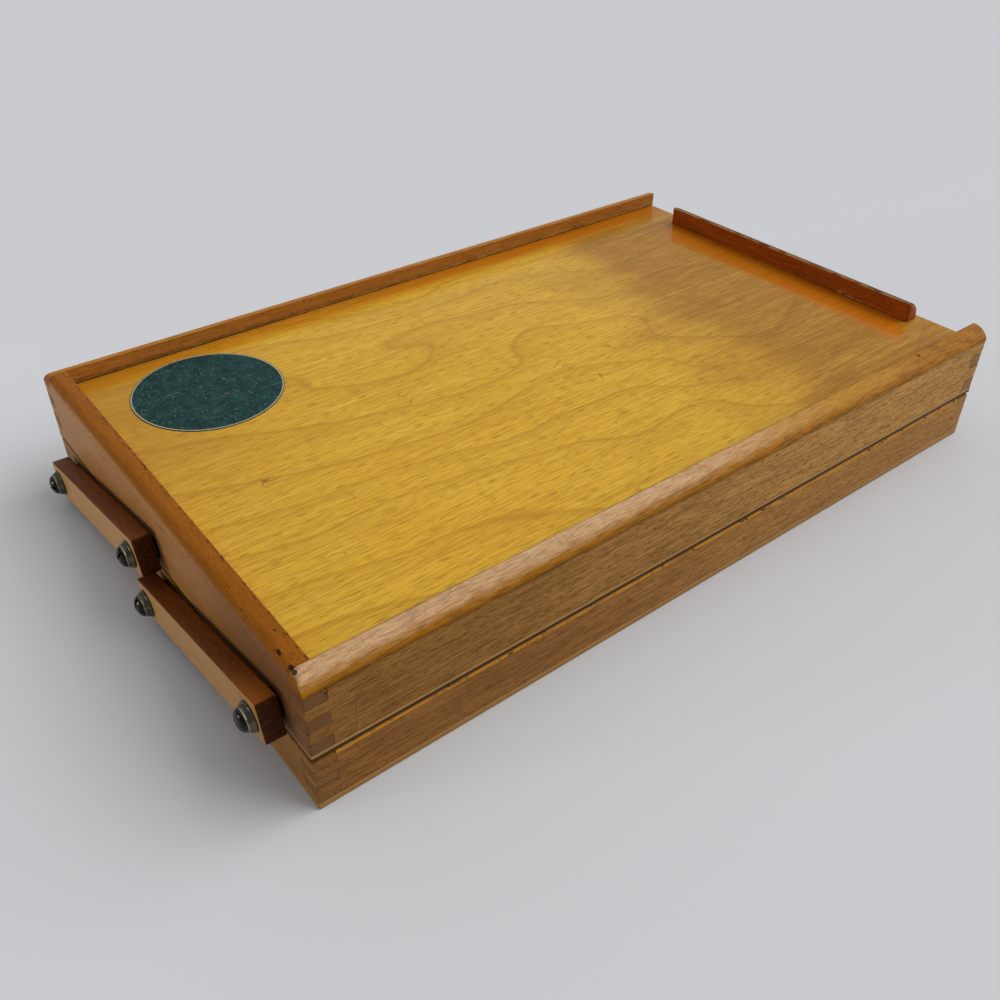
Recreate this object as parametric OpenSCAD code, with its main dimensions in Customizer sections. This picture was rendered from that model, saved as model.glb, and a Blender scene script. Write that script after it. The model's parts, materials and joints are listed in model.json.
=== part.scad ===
// Accordion pencil box: two finger-jointed beech trays joined by parallel links,
// the upper one closed by a lid that slides out to the right.
// The origin is on the table, under the middle of the box. +X is right, -Y is the front, +Z is up.

/* [Trays] */
// Length of the box from end to end
box_l = 325; // [240:1:420]
// Depth of the box from front to back
box_d = 205; // [170:1:280]
// Thickness of the beech walls
wall_t = 7.5; // [6:0.5:12]
// Thickness of the plywood bottoms
ply_t = 2.4; // [1.6:0.1:4]
// Height of the lower tray with its bottom
lower_h = 20.4; // [17:0.2:40]
// Height of the upper tray with its bottom and its rails
upper_h = 30.3; // [27:0.1:60]
// Gap between the two trays when they are closed
tray_gap = 0.8; // [0.3:0.1:2]
// Height of one finger of the corner joints, before the fingers are spread over a wall
finger_h = 4.4; // [3:0.2:8]

/* [Rails] */
// Radius of the rounded outer edge of the rails
rail_r = 7.3; // [5:0.1:9]
// Height of the rounded part of the rails, above the crease on the wall
rail_round_h = 4.8; // [3:0.1:5]
// Radius of the rounded outer edge on top of the left end
end_r = 4; // [1:0.5:6]

/* [Lid] */
// Thickness of the lid panel
lid_t = 4; // [3:0.1:6]
// Depth of the lid's upper face below the top of the rails
lid_drop = 6.6; // [5:0.1:8]
// Depth of the grooves that hold the lid
groove_d = 4; // [2:0.5:5]
// Clearance of the lid at each face of its groove
lid_play = 0.15; // [0.1:0.05:0.5]
// Clearance of the lid's edges at the bottom of its grooves
lid_edge_play = 0.3; // [0.2:0.1:1]
// Length of the pull across the lid
pull_l = 142; // [80:1:160]
// Thickness of the pull
pull_t = 7.5; // [7.4:0.1:12]
// Height of the pull above the lid
pull_h = 8.5; // [7.5:0.1:15]
// Radius of the rounded back of the pull
pull_r = 7.3; // [2:0.1:7.3]
// Distance from the lid's right edge to the pull
pull_inset = 2.8; // [0:0.1:20]
// Diameter of the round label
label_d = 58; // [30:1:80]
// Thickness of the label
label_t = 0.3; // [0.2:0.1:0.6]
// Distance of the label's centre from the left end of the box
label_left = 48.5; // [45:0.5:120]
// Distance of the label's centre from the back of the box
label_back = 43; // [40:0.5:120]

/* [Links] */
// Thickness of a link
link_t = 6.8; // [4:0.2:10]
// Width of a link
link_w = 14.5; // [11:0.5:17]
// Distance from a pivot to the end of its link
link_end = 6.5; // [5:0.5:10]
// Radius of the corners of a link
link_r = 1.2; // [0.5:0.1:4]
// Distance of the outermost pivots from the front and the back of the box
pivot_inset = 18; // [14:0.5:30]
// How far the rear link's upper pivot lies behind the front link's lower pivot
pivot_step = 5; // [2:0.5:15]
// Height of the upper pivots above the underside of the upper tray
pivot_h = 8.8; // [8:0.2:15]

/* [Screws] */
// Diameter of the screw shank
shank_d = 4; // [3:0.2:4.6]
// Diameter of the screw head
head_d = 7.4; // [6.8:0.2:8]
// Height of the domed top of the screw head
dome_h = 1.9; // [1:0.1:2.2]
// Width of the slot in the screw head
slot_w = 1; // [0.6:0.1:1.4]
// Depth of the slot below the top of the screw head
slot_d = 1.2; // [0.6:0.1:1.4]
// Diameter of the cup washer under the screw head
cup_d = 10; // [9.4:0.2:12]
// Height of the cup washer
cup_h = 2.4; // [2.3:0.1:3]
// Height of the straight rim of the cup washer
cup_rim = 0.6; // [0.3:0.1:1]
// Width of the flat lip round the screw head on the cup washer
cup_lip = 0.4; // [0.3:0.1:0.6]
// Diameter of the flat washer between a link and the wall
spacer_d = 10; // [8:0.5:11]
// Thickness of the flat washer between a link and the wall
spacer_t = 1.2; // [0.8:0.1:3]
// Wood left in front of the tip of a screw
tip_cover = 0.8; // [0.5:0.1:2]

/* [Fits] */
// Radial clearance of a screw in the bore that turns on it
bore_play = 0.08; // [0.04:0.01:0.1]
// Radial clearance of a screw at the upper pivots that close the parallel linkage
loop_play = 0.25; // [0.1:0.05:0.4]
// Clearance on each face of a link, to its washers
face_play = 0.1; // [0.05:0.05:0.3]
// Clearance of a screw in its seat and in its pilot hole
seat_play = 0.05; // [0.02:0.01:0.1]

/* [Hidden] */
$fn = 64;
// Length by which a cutter passes the face that it cuts
over = 1;

// Heights of the trays and of the lid
upper_z = lower_h + tray_gap;
upper_floor_z = upper_z + ply_t;
rail_top_z = upper_z + upper_h;
crease_z = rail_top_z - rail_round_h;
lid_top_z = rail_top_z - lid_drop;
lid_under_z = lid_top_z - lid_t;
right_top_z = lid_under_z - lid_play;

// Depth of the centre of the rails' round, behind the face of the wall
rail_centre = sqrt(pow(rail_r, 2) - pow(rail_r - rail_round_h, 2));

// Edges of the lid
lid_left = -box_l / 2 + wall_t - groove_d + lid_edge_play;
lid_right = box_l / 2;
lid_side = box_d / 2 - wall_t + groove_d - lid_edge_play;

// Pivots of the links
lower_pivot_z = (ply_t + lower_h) / 2;
upper_pivot_z = upper_z + pivot_h;
pivot_run = (box_d - 2 * pivot_inset - pivot_step) / 2;
pivot_rise = upper_pivot_z - lower_pivot_z;
pivot_len = norm([pivot_run, pivot_rise]);
link_angle = atan2(pivot_rise, -pivot_run);

// Layers on a pivot, counted outwards from the face of the end wall
link_in = spacer_t + face_play;
link_out = link_in + link_t;
cup_z = link_out + face_play;
head_z = cup_z + cup_h;
head_cone = (head_d - shank_d) / 2;
dome_r = (pow(head_d / 2, 2) + pow(dome_h, 2)) / (2 * dome_h);
screw_depth = wall_t - tip_cover;

// Sides of the box, with the way that each one faces
SIDES = ["left", "right"];
PLACES = ["front", "rear"];
LEVELS = ["lower", "upper"];
function out_x(side) = side == "left" ? -1 : 1;

// Turn between the slots of neighbouring screws
slot_turn = 50;

PIVOTS = [for (side = SIDES) for (place = PLACES) for (level = LEVELS) [side, place, level]];
function pivot_name(p) = str(p[0], "_", p[1], "_", p[2]);
function link_name(side, place) = str("link_", side, "_", place);

beech = "#96693f";
beech_end = "#8a4f1c";
plywood = "#c09a60";
veneer = "#c9a03c";
dark_beech = "#6b2e0a";
pale_beech = "#b58d60";
green = "#1f4a48";
steel = "#6a675c";

// A pivot's distance along the box, negative towards the front
function pivot_y(place, level) =
    place == "front"
        ? -box_d / 2 + pivot_inset + (level == "lower" ? pivot_run : 0)
        : box_d / 2 - pivot_inset - (level == "upper" ? pivot_run : 0);
function pivot_z(level) = level == "lower" ? lower_pivot_z : upper_pivot_z;

// Number of fingers in a joint: odd, so that the end wall has the first and the last
function finger_count(h) = 2 * max(1, round((h / finger_h - 1) / 2)) + 1;

// Puts its children at a corner of the box, where +X and +Y lead inwards
module at_corner(out_x, out_y) {
    translate([out_x * box_l / 2, out_y * box_d / 2, 0])
        mirror([max(0, out_x), 0, 0])
            mirror([0, max(0, out_y), 0])
                children();
}

// The end wall's fingers at one corner, or the slots for them if they pass the faces
module end_fingers(from_z, to_z, past = 0) {
    count = finger_count(to_z - from_z);
    step = (to_z - from_z) / count;
    for (i = [0 : 2 : count - 1])
        translate([-past, -past, from_z + i * step])
            cube([wall_t + past, wall_t + past, step]);
}

// A block across the box between the two long walls
module end_block(side, from_z, to_z) {
    translate([out_x(side) * (box_l - wall_t) / 2 - wall_t / 2, -box_d / 2 + wall_t, from_z])
        cube([wall_t, box_d - 2 * wall_t, to_z - from_z]);
}

// An end wall: its block and its fingers at the front and the back
module end_wall(side, from_z, to_z, fingers_to_z) {
    end_block(side, from_z, to_z);
    for (out_y = [-1, 1])
        at_corner(out_x(side), out_y)
            end_fingers(from_z, fingers_to_z);
}

// Puts its children on an end wall's outer face at a pivot, with +Z leading outwards
module at_pivot(side, place, level) {
    translate([out_x(side) * box_l / 2, pivot_y(place, level), pivot_z(level)])
        rotate([0, out_x(side) * 90, 0])
            children();
}

// Pilot holes for the screws of one end wall
module pilot_holes(side, level) {
    for (place = PLACES)
        at_pivot(side, place, level)
            translate([0, 0, -screw_depth - seat_play])
                cylinder(d = shank_d + 2 * seat_play, h = screw_depth + seat_play + over);
}

// Section of an upper long wall, from its outer face inwards, with the rounded rail on top
module rail_section() {
    difference() {
        square([wall_t, rail_top_z - upper_floor_z]);
        translate([0, crease_z - upper_floor_z])
            difference() {
                translate([-over, 0])
                    square([over + rail_centre, rail_round_h + over]);
                translate([rail_centre, rail_round_h - rail_r])
                    circle(r = rail_r);
            }
    }
}

// The space that the lid fills and slides through
module lid_pocket() {
    translate([lid_left - lid_edge_play, -lid_side - lid_edge_play, right_top_z])
        cube([box_l, 2 * (lid_side + lid_edge_play), lid_t + 2 * lid_play]);
}

// What the round on top of the left end takes away
module left_round() {
    translate([-box_l / 2, box_d / 2 + over, rail_top_z - end_r])
        rotate([90, 0, 0])
            linear_extrude(box_d + 2 * over)
                difference() {
                    translate([-over, 0])
                        square([end_r + over, end_r + over]);
                    translate([end_r, 0])
                        circle(r = end_r);
                }
}

// A long wall of the lower tray, at the front
module lower_long_wall() {
    difference() {
        translate([-box_l / 2, -box_d / 2, ply_t])
            cube([box_l, wall_t, lower_h - ply_t]);
        for (side = SIDES)
            at_corner(out_x(side), -1)
                end_fingers(ply_t, lower_h, over);
    }
}

// A long wall of the upper tray, at the front
module upper_long_wall() {
    difference() {
        translate([-box_l / 2, -box_d / 2, upper_floor_z])
            rotate([90, 0, 90])
                linear_extrude(box_l)
                    rail_section();
        at_corner(-1, -1)
            end_fingers(upper_floor_z, crease_z, over);
        at_corner(1, -1)
            end_fingers(upper_floor_z, right_top_z, over);
        lid_pocket();
        left_round();
    }
}

module bottom_panel(from_z) {
    translate([-box_l / 2, -box_d / 2, from_z])
        cube([box_l, box_d, ply_t]);
}

module lower_front_wall() {
    color(beech)
        lower_long_wall();
}

module lower_back_wall() {
    color(beech)
        mirror([0, 1, 0])
            lower_long_wall();
}

module lower_left_end() {
    color(beech_end)
        difference() {
            end_wall("left", ply_t, lower_h, lower_h);
            pilot_holes("left", "lower");
        }
}

module lower_right_end() {
    color(beech_end)
        difference() {
            end_wall("right", ply_t, lower_h, lower_h);
            pilot_holes("right", "lower");
        }
}

module lower_bottom() {
    color(plywood)
        bottom_panel(0);
}

module upper_front_wall() {
    color(beech)
        upper_long_wall();
}

module upper_back_wall() {
    color(beech)
        mirror([0, 1, 0])
            upper_long_wall();
}

module upper_left_end() {
    color(beech_end)
        difference() {
            end_wall("left", upper_floor_z, rail_top_z, crease_z);
            lid_pocket();
            left_round();
            pilot_holes("left", "upper");
        }
}

module upper_right_end() {
    color(beech_end)
        difference() {
            end_wall("right", upper_floor_z, right_top_z, right_top_z);
            pilot_holes("right", "upper");
        }
}

module upper_bottom() {
    color(plywood)
        bottom_panel(upper_z);
}

module lid_panel() {
    color(veneer)
        translate([lid_left, -lid_side, lid_under_z])
            cube([lid_right - lid_left, 2 * lid_side, lid_t]);
}

// Section of the pull across its length: a strip with a flat face to the left and a rounded back
module pull_section() {
    difference() {
        square([pull_t, pull_h]);
        translate([pull_t - pull_r, pull_h - pull_r])
            difference() {
                square(pull_r + over);
                circle(r = pull_r);
            }
    }
}

module lid_pull() {
    color(dark_beech)
        translate([lid_right - pull_inset - pull_t, pull_l / 2, lid_top_z])
            rotate([90, 0, 0])
                linear_extrude(pull_l)
                    pull_section();
}

module lid_label() {
    color(green)
        translate([-box_l / 2 + label_left, box_d / 2 - label_back, lid_top_z])
            cylinder(d = label_d, h = label_t);
}

// Outline of a link on its lower pivot, with the upper pivot along +X
module link_outline() {
    length = pivot_len + 2 * link_end;
    translate([-link_end, -link_w / 2]) {
        translate([link_r, 0])
            square([length - 2 * link_r, link_w]);
        translate([0, link_r])
            square([length, link_w - 2 * link_r]);
        for (x = [link_r, length - link_r])
            for (y = [link_r, link_w - link_r])
                translate([x, y])
                    circle(r = link_r);
    }
}

// A link with its two bores. The left rear link carries the upper tray, the others close the loop.
module link(side, place) {
    upper_play = side == "left" && place == "rear" ? bore_play : loop_play;
    color(pale_beech)
        mirror([side == "left" ? 1 : 0, 0, 0])
            translate([box_l / 2 + link_in, pivot_y(place, "lower"), lower_pivot_z])
                rotate([90, 0, 90])
                    rotate([0, 0, link_angle])
                        difference() {
                            linear_extrude(link_t)
                                link_outline();
                            translate([0, 0, -over])
                                cylinder(d = shank_d + 2 * bore_play, h = link_t + 2 * over);
                            translate([pivot_len, 0, -over])
                                cylinder(d = shank_d + 2 * upper_play, h = link_t + 2 * over);
                        }
}

// A wood screw on its pivot: shank, countersunk head with a domed top, and a slot
module pivot_screw(index) {
    color(steel)
        at_pivot(PIVOTS[index][0], PIVOTS[index][1], PIVOTS[index][2])
            difference() {
                union() {
                    translate([0, 0, -screw_depth])
                        cylinder(d = shank_d, h = screw_depth + head_z - head_cone);
                    translate([0, 0, head_z - head_cone])
                        cylinder(d1 = shank_d, d2 = head_d, h = head_cone);
                    intersection() {
                        translate([0, 0, head_z + dome_h - dome_r])
                            sphere(r = dome_r);
                        translate([0, 0, head_z])
                            cylinder(d = head_d, h = dome_h);
                    }
                }
                rotate([0, 0, index * slot_turn])
                    translate([-head_d / 2 - over, -slot_w / 2, head_z + dome_h - slot_d])
                        cube([head_d + 2 * over, slot_w, slot_d + over]);
            }
}

// A cup washer: a cone on the link's face with a seat for the screw head
module cup_washer(index) {
    bore_r = shank_d / 2 + seat_play;
    seat_r = head_d / 2 + seat_play;
    color(steel)
        at_pivot(PIVOTS[index][0], PIVOTS[index][1], PIVOTS[index][2])
            translate([0, 0, cup_z])
                rotate_extrude()
                    polygon([
                        [bore_r, 0],
                        [cup_d / 2, 0],
                        [cup_d / 2, cup_rim],
                        [seat_r + cup_lip, cup_h],
                        [seat_r, cup_h],
                        [bore_r, cup_h - seat_r + bore_r]
                    ]);
}

// A flat washer that keeps a link off the end wall
module spacer(index) {
    color(steel)
        at_pivot(PIVOTS[index][0], PIVOTS[index][1], PIVOTS[index][2])
            difference() {
                cylinder(d = spacer_d, h = spacer_t);
                translate([0, 0, -over])
                    cylinder(d = shank_d + 2 * seat_play, h = spacer_t + 2 * over);
            }
}

lower_front_wall();
lower_back_wall();
lower_left_end();
lower_right_end();
lower_bottom();
upper_front_wall();
upper_back_wall();
upper_left_end();
upper_right_end();
upper_bottom();
lid_panel();
lid_pull();
lid_label();
for (side = SIDES) for (place = PLACES)
    link(side, place);
for (i = [0 : len(PIVOTS) - 1])
    pivot_screw(i);
for (i = [0 : len(PIVOTS) - 1])
    cup_washer(i);
for (i = [0 : len(PIVOTS) - 1])
    spacer(i);
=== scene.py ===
"""Accordion pencil box: the looks of the box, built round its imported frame.

The trays, lid, links and fittings are dressed here in beech, veneer, plywood and steel. Places come
from the frame, in metres, with +X to the right, -Y to the front and +Z up.
"""

import json
import math

import bmesh
import bpy
from mathutils import Matrix, Vector, noise
from mathutils.bvhtree import BVHTree


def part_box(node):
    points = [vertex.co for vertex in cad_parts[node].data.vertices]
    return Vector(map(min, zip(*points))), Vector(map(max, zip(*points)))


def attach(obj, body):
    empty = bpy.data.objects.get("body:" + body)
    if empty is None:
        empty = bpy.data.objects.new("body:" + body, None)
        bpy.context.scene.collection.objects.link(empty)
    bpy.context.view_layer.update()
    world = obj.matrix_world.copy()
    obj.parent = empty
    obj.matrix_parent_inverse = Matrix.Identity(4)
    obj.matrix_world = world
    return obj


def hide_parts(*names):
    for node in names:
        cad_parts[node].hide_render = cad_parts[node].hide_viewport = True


bl_info = {
    "name": "Accordion Pencil Box",
    "version": (1, 0, 0),
    "blender": (4, 5, 0),
    "location": "3D View > Sidebar > Pencil Box",
    "description": "Dresses the frame of an accordion pencil box in wood and steel",
    "category": "Object",
}

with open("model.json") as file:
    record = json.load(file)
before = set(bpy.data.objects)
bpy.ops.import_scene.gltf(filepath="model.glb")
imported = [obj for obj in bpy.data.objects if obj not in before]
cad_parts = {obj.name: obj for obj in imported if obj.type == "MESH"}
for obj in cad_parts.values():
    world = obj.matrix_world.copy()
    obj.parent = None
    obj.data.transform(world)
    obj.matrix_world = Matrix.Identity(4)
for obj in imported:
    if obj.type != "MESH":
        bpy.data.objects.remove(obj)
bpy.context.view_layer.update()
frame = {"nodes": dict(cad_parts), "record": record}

MM = 0.001
SIDES = ("left", "right")
PLACES = ("front", "rear")
LEVELS = ("lower", "upper")
PIVOTS = [f"{side}_{place}_{level}" for side in SIDES for place in PLACES for level in LEVELS]

# Places read from the frame
FRONT_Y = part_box("upper_front_wall")[0].y
LEFT_X, INNER_LEFT_X = (corner.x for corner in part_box("upper_left_end"))
RAIL_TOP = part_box("upper_front_wall")[1].z
LOWER_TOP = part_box("lower_front_wall")[1].z
WALL = INNER_LEFT_X - LEFT_X
LID_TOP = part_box("lid_panel")[1].z
PULL_LOW, PULL_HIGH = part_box("lid_pull")
LABEL_LOW, LABEL_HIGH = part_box("lid_label")

# Ways in the frame
RIGHT = Vector((1, 0, 0))
BACK = Vector((0, 1, 0))
UP = Vector((0, 0, 1))


def linear(code):
    """A hex sRGB colour as linear red, green and blue."""
    parts = [int(code[i : i + 2], 16) / 255 for i in (1, 3, 5)]
    return tuple(c / 12.92 if c <= 0.04045 else ((c + 0.055) / 1.055) ** 2.4 for c in parts)


def colour_prop(name, description, code):
    """A colour that a user can change, with a hex default."""
    return bpy.props.FloatVectorProperty(
        name=name, description=description, subtype="COLOR", size=3, min=0, max=1, default=linear(code)
    )


def size_prop(name, description, size):
    """A length that a user can change, in metres."""
    return bpy.props.FloatProperty(
        name=name, description=description, unit="LENGTH", precision=5, min=0, default=size
    )


def angle_prop(name, description, degrees):
    """An angle that a user can change."""
    return bpy.props.FloatProperty(
        name=name, description=description, subtype="ANGLE", default=math.radians(degrees)
    )


class PencilBoxWood(bpy.types.PropertyGroup):
    """Sizes and colours of the beech and the plywood"""

    rim: size_prop("Rim", "Rounding of the edges that hands rub", 0.7 * MM)
    lip: size_prop("Lip", "Rounding of the edges inside a tray", 0.2 * MM)
    seam: size_prop("Seam", "Width of the open line along a glued joint", 0.12 * MM)
    chip: size_prop("Chip", "Depth of the dents along a rubbed edge", 0.22 * MM)
    link_rim: size_prop("Link rim", "Rounding of the edges of a link", 0.65 * MM)
    pull_round: size_prop("Pull round", "Radius of the pull's rounded back", 7.3 * MM)
    pull_rim: size_prop("Pull rim", "Width of the worn edge along the pull's top", 0.15 * MM)
    pull_end: size_prop("Pull end", "Rounding of the pull's ends", 1.3 * MM)
    panel_rim: size_prop("Panel rim", "Rounding of the edges of the plywood", 0.3 * MM)
    rail_round: size_prop("Rail round", "Height of the rounded part of the rails", 4.8 * MM)
    amber_band: size_prop("Amber band", "Height of the varnish left above the crease of the rail", 2.9 * MM)
    # Lower rim height: height of the painted highlight, an orange band where the lower tray's top edge
    # catches the light
    rim_highlight_height: size_prop("Lower rim height", "Height of the orange band round the lower tray's top", 0.7 * MM)
    wall: colour_prop("Walls", "Varnished beech of the long walls", "#9A6C36")
    # Walls, right: painted light, the paler tone of the long walls towards the right
    wall_lit_right: colour_prop("Walls, right", "Paler beech at the right of the long walls", "#C2904C")
    wall_dark: colour_prop("Wall streaks", "Dark streaks in the long walls", "#6A431C")
    end: colour_prop("Ends", "Amber varnish on top of the end walls", "#90520F")
    end_face: colour_prop("End faces", "Browner faces of the end walls", "#A87848")
    end_dark: colour_prop("End streaks", "Dark streaks in the end walls", "#764408")
    rubbed: colour_prop("Rubbed rail", "Bare beech where hands have rubbed the rail", "#C09A70")
    rubbed_bar: colour_prop("Rail bars", "Short bars across the bare beech of the rail", "#94694A")
    rubbed_light: colour_prop("Pale streaks", "Palest streaks of the bare beech", "#CCAC84")
    golden: colour_prop("Golden rail", "Thin varnish towards the right of the rail", "#AE7C24")
    amber: colour_prop("Amber", "Thick varnish below the rubbed rail", "#A0681C")
    amber_dark: colour_prop("Amber threads", "Dark threads in the thick varnish", "#74460E")
    back_rail: colour_prop("Back rail", "Brown varnish of the back rail", "#AE7432")
    # Lower rim: colour of that painted highlight on the lower tray's top edge
    rim_highlight_orange: colour_prop("Lower rim", "Orange varnish round the lower tray's top", "#BC7E2E")
    # End front brown: the darker brown laid towards the front of the upper left end's outer face
    end_front_brown: colour_prop("End shade", "Grimy brown of the upper left end near the front", "#6A4428")
    wall_red: colour_prop("Lower walls", "Redder brown over the lower walls", "#7A4626")
    end_grain: colour_prop("End grain", "Sawn ends of the beech", "#6E4A30")
    fleck: colour_prop("Flecks", "Short dark flecks of beech", "#4A2E12")
    # Dirt in joints and dents, and also painted shade: the dark line where the lid meets its grooves, the
    # line along the links' upper edges, the upper plywood's edge in the gap between the trays and the line
    # along the pull's foot
    dirt_and_shade: colour_prop("Dirt", "Dirt in joints and dents", "#1E100A")
    link: colour_prop("Links", "Pale beech of the links", "#B08452")
    link_dark: colour_prop("Link streaks", "Streaks in the pale beech", "#9E7644")
    link_top: colour_prop("Link edges", "Red-brown varnish on the links' edges", "#6C3812")
    link_stain: colour_prop("Link stain", "Dark streaks in the links' edges", "#5A2C0E")
    link_end: colour_prop("Link ends", "Dark stain on the links' ends", "#3A1A0A")
    pull: colour_prop("Pull", "Red-brown varnish of the pull", "#9C4A10")
    pull_dark: colour_prop("Pull streaks", "Dark streaks in the pull", "#6E2E08")
    # Link glow: painted light at the front ends of the front links
    link_lit_orange: colour_prop("Link glow", "Orange varnish at the front ends of the links", "#A85C16")
    sheen: colour_prop("Sheen", "Warm tint of the sheen on the varnish", "#F0C488")
    pale: colour_prop("Bare wood", "Wood where the varnish has chipped off", "#A8844C")
    ply: colour_prop("Plywood", "Faces and outer layers of the plywood", "#A67E46")
    ply_dark: colour_prop("Plywood layers", "Darker layers of the plywood", "#8A6530")
    ply_core: colour_prop("Plywood core", "Middle layer of the plywood", "#5A3C1A")


class PencilBoxLid(bpy.types.PropertyGroup):
    """Sizes and colours of the lid and its label"""

    rim: size_prop("Lid rim", "Rounding of the edges of the lid", 0.35 * MM)
    # Amber band: width of the amber that is partly thick varnish and partly a painted reflection of the back
    # rail and the pull
    band: size_prop("Amber band", "Width of the deep amber along the back rail and the pull", 17 * MM)
    border: size_prop("Border width", "Width of the pale border of the label", 0.6 * MM)
    veneer: colour_prop("Veneer", "Golden varnished veneer", "#CE9F2C")
    # Browned veneer: its browner tone towards the pull is partly the veneer's own and partly a painted
    # fall-off of the broad golden highlight over the middle of the lid
    veneer_brown: colour_prop("Browned veneer", "Veneer at the end with the pull", "#A06C18")
    light: colour_prop("Light grain", "Light grain of the veneer", "#DCB44C")
    grain: colour_prop("Grain", "Dark grain of the veneer", "#A8761C")
    grain_brown: colour_prop("Browned grain", "Dark grain at the end with the pull", "#80520C")
    # Amber is partly thick varnish and partly a painted reflection of the back rail and the pull; the amber
    # glow is painted light towards the pull's front end
    amber: colour_prop("Amber", "Thick varnish along the back rail and the pull", "#B4640A")
    amber_lit: colour_prop("Amber glow", "Brighter amber at the pull's front end", "#BC660A")
    amber_dark: colour_prop("Amber grain", "Grain in the thick varnish", "#8A4C06")
    tick: colour_prop("Ticks", "Small dents and scratches", "#5A380C")
    green: colour_prop("Label", "Dark green of the label", "#14302E")
    teal: colour_prop("Label clouds", "Worn green of the label", "#1C403E")
    scuff: colour_prop("Label scuffs", "Fine scuffs in the label", "#84948C")
    cream: colour_prop("Label border", "Cream of the label's border", "#A89C80")


class PencilBoxFittings(bpy.types.PropertyGroup):
    """Sizes and colours of the screws and washers"""

    shank_d: size_prop("Shank", "Diameter of a screw's shank", 4 * MM)
    depth: size_prop("Screw depth", "Depth of a screw in the end wall", 6.7 * MM)
    head_d: size_prop("Head", "Diameter of a screw's head", 7.4 * MM)
    dome_h: size_prop("Dome", "Height of the domed top of a screw", 1.9 * MM)
    slot_w: size_prop("Slot width", "Width of a screw's slot", 1 * MM)
    slot_d: size_prop("Slot depth", "Depth of a screw's slot", 1.2 * MM)
    cup_d: size_prop("Cup", "Diameter of a cup washer", 10 * MM)
    cup_h: size_prop("Cup height", "Height of a cup washer", 2.4 * MM)
    cup_rim: size_prop("Cup rim", "Height of the straight rim of a cup washer", 0.6 * MM)
    bore_play: size_prop("Bore", "Clearance of a screw in its washers", 0.05 * MM)
    slot_turn: angle_prop("Slot turn", "Turn between the slots of neighbouring screws", 50)
    dark_steel: colour_prop("Screws", "Darkened steel of the screws", "#302E2C")
    cup_steel: colour_prop("Cups", "Dull nickel on the cup washers", "#5A5548")
    bright_steel: colour_prop("Cup lips", "Nickel rubbed bright on the lips of the cups", "#8C8674")
    black_steel: colour_prop("Washers", "Blackened steel of the flat washers", "#15110E")


class PencilBoxStage(bpy.types.PropertyGroup):
    """The floor, the light and the camera"""

    floor: colour_prop("Floor", "Pale floor", "#C6C7C9")
    sky: colour_prop("Sky", "Pale light from above", "#D8DADC")
    walls: colour_prop("Walls", "Dimmer light from the sides", "#949596")
    lamp: bpy.props.FloatProperty(name="Lamp", description="Strength of the soft lamp", default=2.3)
    glint: bpy.props.FloatProperty(name="Glint", description="Power of the small lamp, in watts", default=0.1)
    camera_place: bpy.props.FloatVectorProperty(
        name="Camera", description="Place of the camera", subtype="TRANSLATION",
        default=(-0.2284, -0.2685, 0.2433),
    )
    pan: angle_prop("Pan", "Turn of the camera from +Y towards +X", 38.24)
    tilt: angle_prop("Tilt", "Tilt of the camera below the horizon", 37.32)
    roll: angle_prop("Roll", "Turn of the picture, clockwise", 0.52)
    lens: bpy.props.FloatProperty(
        name="Lens", description="Focal length on a 36 mm sensor, in millimetres", default=35.51
    )


# Kinds of nodes, and settings that many of them share
NOISE = "ShaderNodeTexNoise"
RANGE = "ShaderNodeMapRange"
MATH = "ShaderNodeMath"
VECTOR = "ShaderNodeVectorMath"
MIX = "ShaderNodeMix"
SPLIT = "ShaderNodeSeparateXYZ"
JOIN = "ShaderNodeCombineXYZ"
EASED = {"interpolation_type": "SMOOTHSTEP"}
COLOUR = {"data_type": "RGBA"}
TIMES = {"operation": "MULTIPLY"}
TIMES_ADD = {"operation": "MULTIPLY_ADD"}
LARGER = {"operation": "MAXIMUM"}

# Strength of the sheen under the clear coat, and of the relief
SHEEN = 0.06
RELIEF = 0.6


def add(tree, kind, *values, out=0, **settings):
    """Adds a node with its settings, fills its inputs in order, and returns one of its outputs.

    A value is a number, a colour, or the output that feeds the input. None leaves an input as it is."""
    node = tree.nodes.new(kind)
    for name, setting in settings.items():
        setattr(node, name, setting)
    for socket, value in zip([s for s in node.inputs if s.enabled], values):
        if isinstance(value, bpy.types.NodeSocket):
            tree.links.new(value, socket)
        elif socket.type == "RGBA" and value is not None:
            socket.default_value = (*value[:3], 1.0)
        elif value is not None:
            socket.default_value = value
    return node.outputs[out] if isinstance(out, str) else [s for s in node.outputs if s.enabled][out]


def new_material(name):
    """A material with its Principled shader."""
    material = bpy.data.materials.new(name)
    material.use_nodes = True
    return material, material.node_tree, material.node_tree.nodes["Principled BSDF"]


def grain_space(tree, turn=(0, 0, 0)):
    """Object coordinates in millimetres, turned so that the grain runs along X."""
    place = add(tree, "ShaderNodeTexCoord", out="Object")
    turned = add(tree, "ShaderNodeMapping", place, None, turn)
    return add(tree, VECTOR, turned, (1 / MM,) * 3, **TIMES)


def figure(tree, space, size, low=0.0, high=1.0, detail=1.0, offset=0.0):
    """Noise with features about size (along, across, up) millimetres: 0 below low, 1 above high."""
    place = add(tree, VECTOR, space, tuple(1 / s for s in size), (offset,) * 3, **TIMES_ADD)
    return add(tree, RANGE, add(tree, NOISE, place, 1.0, detail), low, high, **EASED)


def band(tree, value, low, high, soft):
    """1 where a value lies between low and high, with soft edges."""
    rise = add(tree, RANGE, value, low - soft, low + soft, **EASED)
    fall = add(tree, RANGE, value, high + soft, high - soft, **EASED)
    return add(tree, MATH, rise, fall, **TIMES)


def paint(tree, under, over, *masks, cover=1.0):
    """Lays a colour over another where all of some masks are 1, as thick as its cover."""
    share = cover
    for mask in masks:
        share = add(tree, MATH, mask, share, **TIMES)
    return add(tree, MIX, share, under, over, **COLOUR)


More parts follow.
